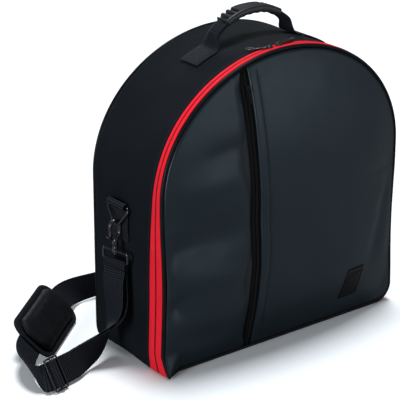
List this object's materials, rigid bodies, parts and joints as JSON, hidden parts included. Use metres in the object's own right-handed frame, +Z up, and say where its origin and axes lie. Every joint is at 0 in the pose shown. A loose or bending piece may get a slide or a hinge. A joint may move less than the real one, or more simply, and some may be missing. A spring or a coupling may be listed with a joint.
{
  "type": "drum bag",
  "caption": "Arched soft snare drum bag with a zipped front lid, front pocket, piped edges, top carry handle, side snap hooks and a padded shoulder strap.",
  "frame": {"origin": "middle of the bag's flat base underside", "axes": "+X to the right as seen from the front, +Y to the back, +Z up; the lid faces -Y"},
  "size_m": [0.6406, 0.3083, 0.4677],
  "materials": {
    "coated_cloth": "smooth black polyurethane-coated cloth with a satin sheen",
    "nylon": "matte black woven nylon twill",
    "piping": "glossy black coated piping, tape and patch",
    "zip_tape": "bright red woven zipper tape",
    "zip_coil": "dark red nylon zipper coil",
    "foam": "dark grey closed-cell foam padding",
    "lining": "black woven lining",
    "webbing": "black ribbed nylon webbing",
    "rubber": "moulded black rubber grip",
    "black_metal": "black satin painted metal",
    "pad_cloth": "black woven pad cover"
  },
  "bodies": {
    "bag_body": {"gusset_shell": "nylon", "gusset_foam": "foam", "gusset_lining": "lining", "back_panel": "nylon", "back_foam": "foam", "back_lining": "lining", "back_piping": "piping", "body_zip_tape": "zip_tape", "body_zip_coil": "zip_coil", "hinge_strip": "nylon", "handle_tab_left": "webbing", "handle_tab_right": "webbing", "ring_tab_left": "webbing", "ring_tab_right": "webbing", "shoulder_strap": "webbing", "strap_return": "webbing", "strap_adjuster": "black_metal"},
    "lid": {"front_panel_left": "coated_cloth", "front_panel_right": "coated_cloth", "pocket_lining": "lining", "lid_foam": "foam", "lid_lining": "lining", "front_piping": "piping", "lid_zip_tape": "zip_tape", "lid_zip_coil": "zip_coil", "pocket_zip_tape": "piping", "pocket_zip_coil": "piping", "front_patch": "piping"},
    "slider_left": {"main_slider_left": "black_metal"},
    "slider_right": {"main_slider_right": "black_metal"},
    "pull_left": {"main_pull_left": "black_metal"},
    "pull_right": {"main_pull_right": "black_metal"},
    "pocket_slider_body": {"pocket_slider": "black_metal"},
    "pocket_pull_body": {"pocket_pull": "black_metal"},
    "handle": {"handle_webbing": "webbing", "handle_grip": "rubber"},
    "clip_left": {"ring_left": "black_metal", "swivel_loop_left": "black_metal", "strap_end_left": "webbing"},
    "clip_right": {"ring_right": "black_metal", "swivel_loop_right": "black_metal", "strap_end_right": "webbing"},
    "snap_left": {"hook_left": "black_metal"},
    "snap_right": {"hook_right": "black_metal"},
    "thumb_left": {"gate_left": "black_metal"},
    "thumb_right": {"gate_right": "black_metal"},
    "pad": {"pad_base": "pad_cloth", "pad_cushion": "pad_cloth", "pad_keeper_near": "webbing", "pad_keeper_far": "webbing"}
  },
  "joints": [
    {"name": "lid_hinge", "type": "hinge", "parent": "bag_body", "child": "lid", "pos_m": [0, -0.0785, 0], "axis": [1, 0, 0], "range_deg": [0, 75]},
    {"name": "slider_left_travel", "type": "hinge", "parent": "bag_body", "child": "slider_left", "pos_m": [0, -0.0671, 0.17934], "axis": [0, -1, 0], "range_deg": [0, 16]},
    {"name": "slider_right_travel", "type": "hinge", "parent": "bag_body", "child": "slider_right", "pos_m": [0, -0.0671, 0.17934], "axis": [0, 1, 0], "range_deg": [0, 21]},
    {"name": "pull_left_flip", "type": "hinge", "parent": "slider_left", "child": "pull_left", "pos_m": [-0.0196, -0.06741, 0.42704], "axis": [0.437, 0.8988, 0.0352], "range_deg": [0, 90]},
    {"name": "pull_right_flip", "type": "hinge", "parent": "slider_right", "child": "pull_right", "pos_m": [-0.00473, -0.06726, 0.42776], "axis": [0.2249, -0.9744, 0.0036], "range_deg": [0, 90]},
    {"name": "pocket_slider_travel", "type": "hinge", "parent": "lid", "child": "pocket_slider_body", "pos_m": [-0.07288, 0.60398, 0.2208], "axis": [0.9997, 0.0057, 0.0246], "range_deg": [0, 4.5]},
    {"name": "pocket_pull_flip", "type": "hinge", "parent": "pocket_slider_body", "child": "pocket_pull_body", "pos_m": [-0.0729, -0.0913, 0.38319], "axis": [-0.9997, -0.0057, -0.0246], "range_deg": [0, 80]},
    {"name": "handle_tilt", "type": "hinge", "parent": "bag_body", "child": "handle", "pos_m": [0, 0, 0.4365], "axis": [1, 0, 0], "range_deg": [-20, 20], "stiffness_Nm_per_rad": 0.08},
    {"name": "clip_left_swing", "type": "hinge", "parent": "bag_body", "child": "clip_left", "pos_m": [-0.2136, 0.013, 0.2235], "axis": [0, 1, 0], "range_deg": [0, 20]},
    {"name": "clip_right_swing", "type": "hinge", "parent": "bag_body", "child": "clip_right", "pos_m": [0.2136, 0.013, 0.2235], "axis": [0, -1, 0], "range_deg": [0, 20]},
    {"name": "hook_left_swivel", "type": "hinge", "parent": "clip_left", "child": "snap_left", "pos_m": [-0.22328, 0.008, 0.1602], "axis": [0, 0, 1], "range_deg": [-15, 15]},
    {"name": "hook_right_swivel", "type": "hinge", "parent": "clip_right", "child": "snap_right", "pos_m": [0.22328, 0.008, 0.1602], "axis": [0, 0, 1], "range_deg": [-15, 15]},
    {"name": "gate_left_swing", "type": "hinge", "parent": "snap_left", "child": "thumb_left", "pos_m": [-0.23013, 0.008, 0.1781], "axis": [0, 1, 0], "range_deg": [0, 22], "stiffness_Nm_per_rad": 0.02, "springref_deg": -5.73},
    {"name": "gate_right_swing", "type": "hinge", "parent": "snap_right", "child": "thumb_right", "pos_m": [0.23013, 0.008, 0.1781], "axis": [0, -1, 0], "range_deg": [0, 22], "stiffness_Nm_per_rad": 0.02, "springref_deg": -5.73},
    {"name": "pad_slide", "type": "slide", "parent": "bag_body", "child": "pad", "axis": [0.766, 0.6428, 0], "range_m": [-0.012, 0.012]}
  ]
}
